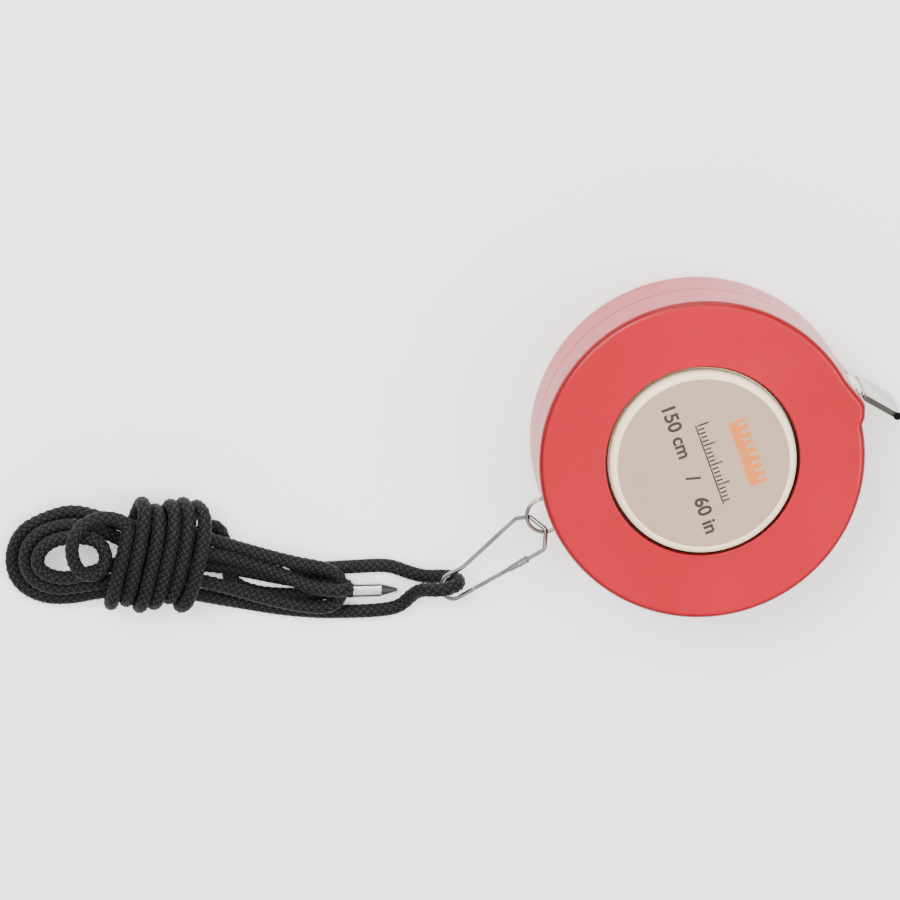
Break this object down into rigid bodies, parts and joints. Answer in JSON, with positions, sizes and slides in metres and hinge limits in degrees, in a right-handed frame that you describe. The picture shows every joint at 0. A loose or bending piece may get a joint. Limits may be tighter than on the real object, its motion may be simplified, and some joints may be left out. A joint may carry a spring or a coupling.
{
  "type": "retractable tape measure",
  "caption": "Round pocket tape measure with a centre push button, a folded metal end tab, and a braided cord lanyard on a jump ring and wire snap hook.",
  "frame": {"origin": "centre of the casing's flat rear face, which lies on the table", "axes": "+Z along the casing's and the drum's axis, out through the push button; +X towards the mouth side; the lanyard leaves towards -X"},
  "size_m": [0.1364, 0.053, 0.0176],
  "materials": {
    "case": "polished",
    "button": "polished",
    "label": "printed satin film",
    "drum": "moulded",
    "tape": "coated woven tape",
    "felt": "felt",
    "steel": "bright zinc",
    "spring_steel": "blued",
    "cord": "braided polyester",
    "tip": "heat-shrunk"
  },
  "bodies": {
    "casing": {"rear_shell": "case", "front_shell": "case", "lanyard_post": "steel", "axle": "steel", "thrust_washer": "drum", "axle_clip": "steel", "return_spring": "spring_steel"},
    "button": {"button": "button", "button_label": "label", "brake_ring": "drum", "brake_pad": "felt"},
    "drum": {"spool": "drum", "tape_coil": "tape", "mainspring": "spring_steel"},
    "tape_end": {"tape_strip": "tape", "end_tab": "steel"},
    "ring": {"key_ring": "steel"},
    "hook": {"hook_frame": "steel", "hook_catch": "steel"},
    "gate": {"hook_gate": "steel"},
    "lanyard": {"lanyard_cord": "cord", "lanyard_hank": "cord", "lanyard_tail": "cord", "cord_ferrule": "steel", "cord_tip": "tip"}
  },
  "joints": [
    {"name": "button_press", "type": "slide", "parent": "casing", "child": "button", "axis": [0, 0, -1], "range_m": [0, 0.001], "stiffness_N_per_m": 800, "springref_m": -0.002, "deforming": ["return_spring"]},
    {"name": "drum_spin", "type": "hinge", "parent": "casing", "child": "drum", "pos_m": [0, 0, 0.00825], "axis": [0, 0, -1], "range_deg": [0, 4092], "stiffness_Nm_per_rad": 0.0002, "springref_deg": -1718.87},
    {"name": "tape_pull", "type": "slide", "parent": "casing", "child": "tape_end", "axis": [0.8572, -0.515, 0], "range_m": [0, 1.45]},
    {"name": "ring_swing", "type": "hinge", "parent": "casing", "child": "ring", "pos_m": [-0.02208, -0.00964, 0.00825], "axis": [0, 0, 1], "range_deg": [-25, 12]},
    {"name": "hook_swing", "type": "hinge", "parent": "ring", "child": "hook", "pos_m": [-0.0235, -0.01026, 0.00825], "axis": [0, 0, 1], "range_deg": [-20, 8]},
    {"name": "gate_open", "type": "hinge", "parent": "hook", "child": "gate", "pos_m": [-0.03368, -0.02232, 0.00548], "axis": [-0.466, 0.166, 0.8691], "range_deg": [0, 8], "stiffness_Nm_per_rad": 0.0005, "springref_deg": -5.73},
    {"name": "lanyard_swing", "type": "hinge", "parent": "hook", "child": "lanyard", "pos_m": [-0.0362, -0.02185, 0.004], "axis": [0, 0, 1], "range_deg": [-20, 20]}
  ],
  "couplings": [
    {"joint": "tape_pull", "follows": "drum_spin", "m_per_rad": 0.0203}
  ]
}
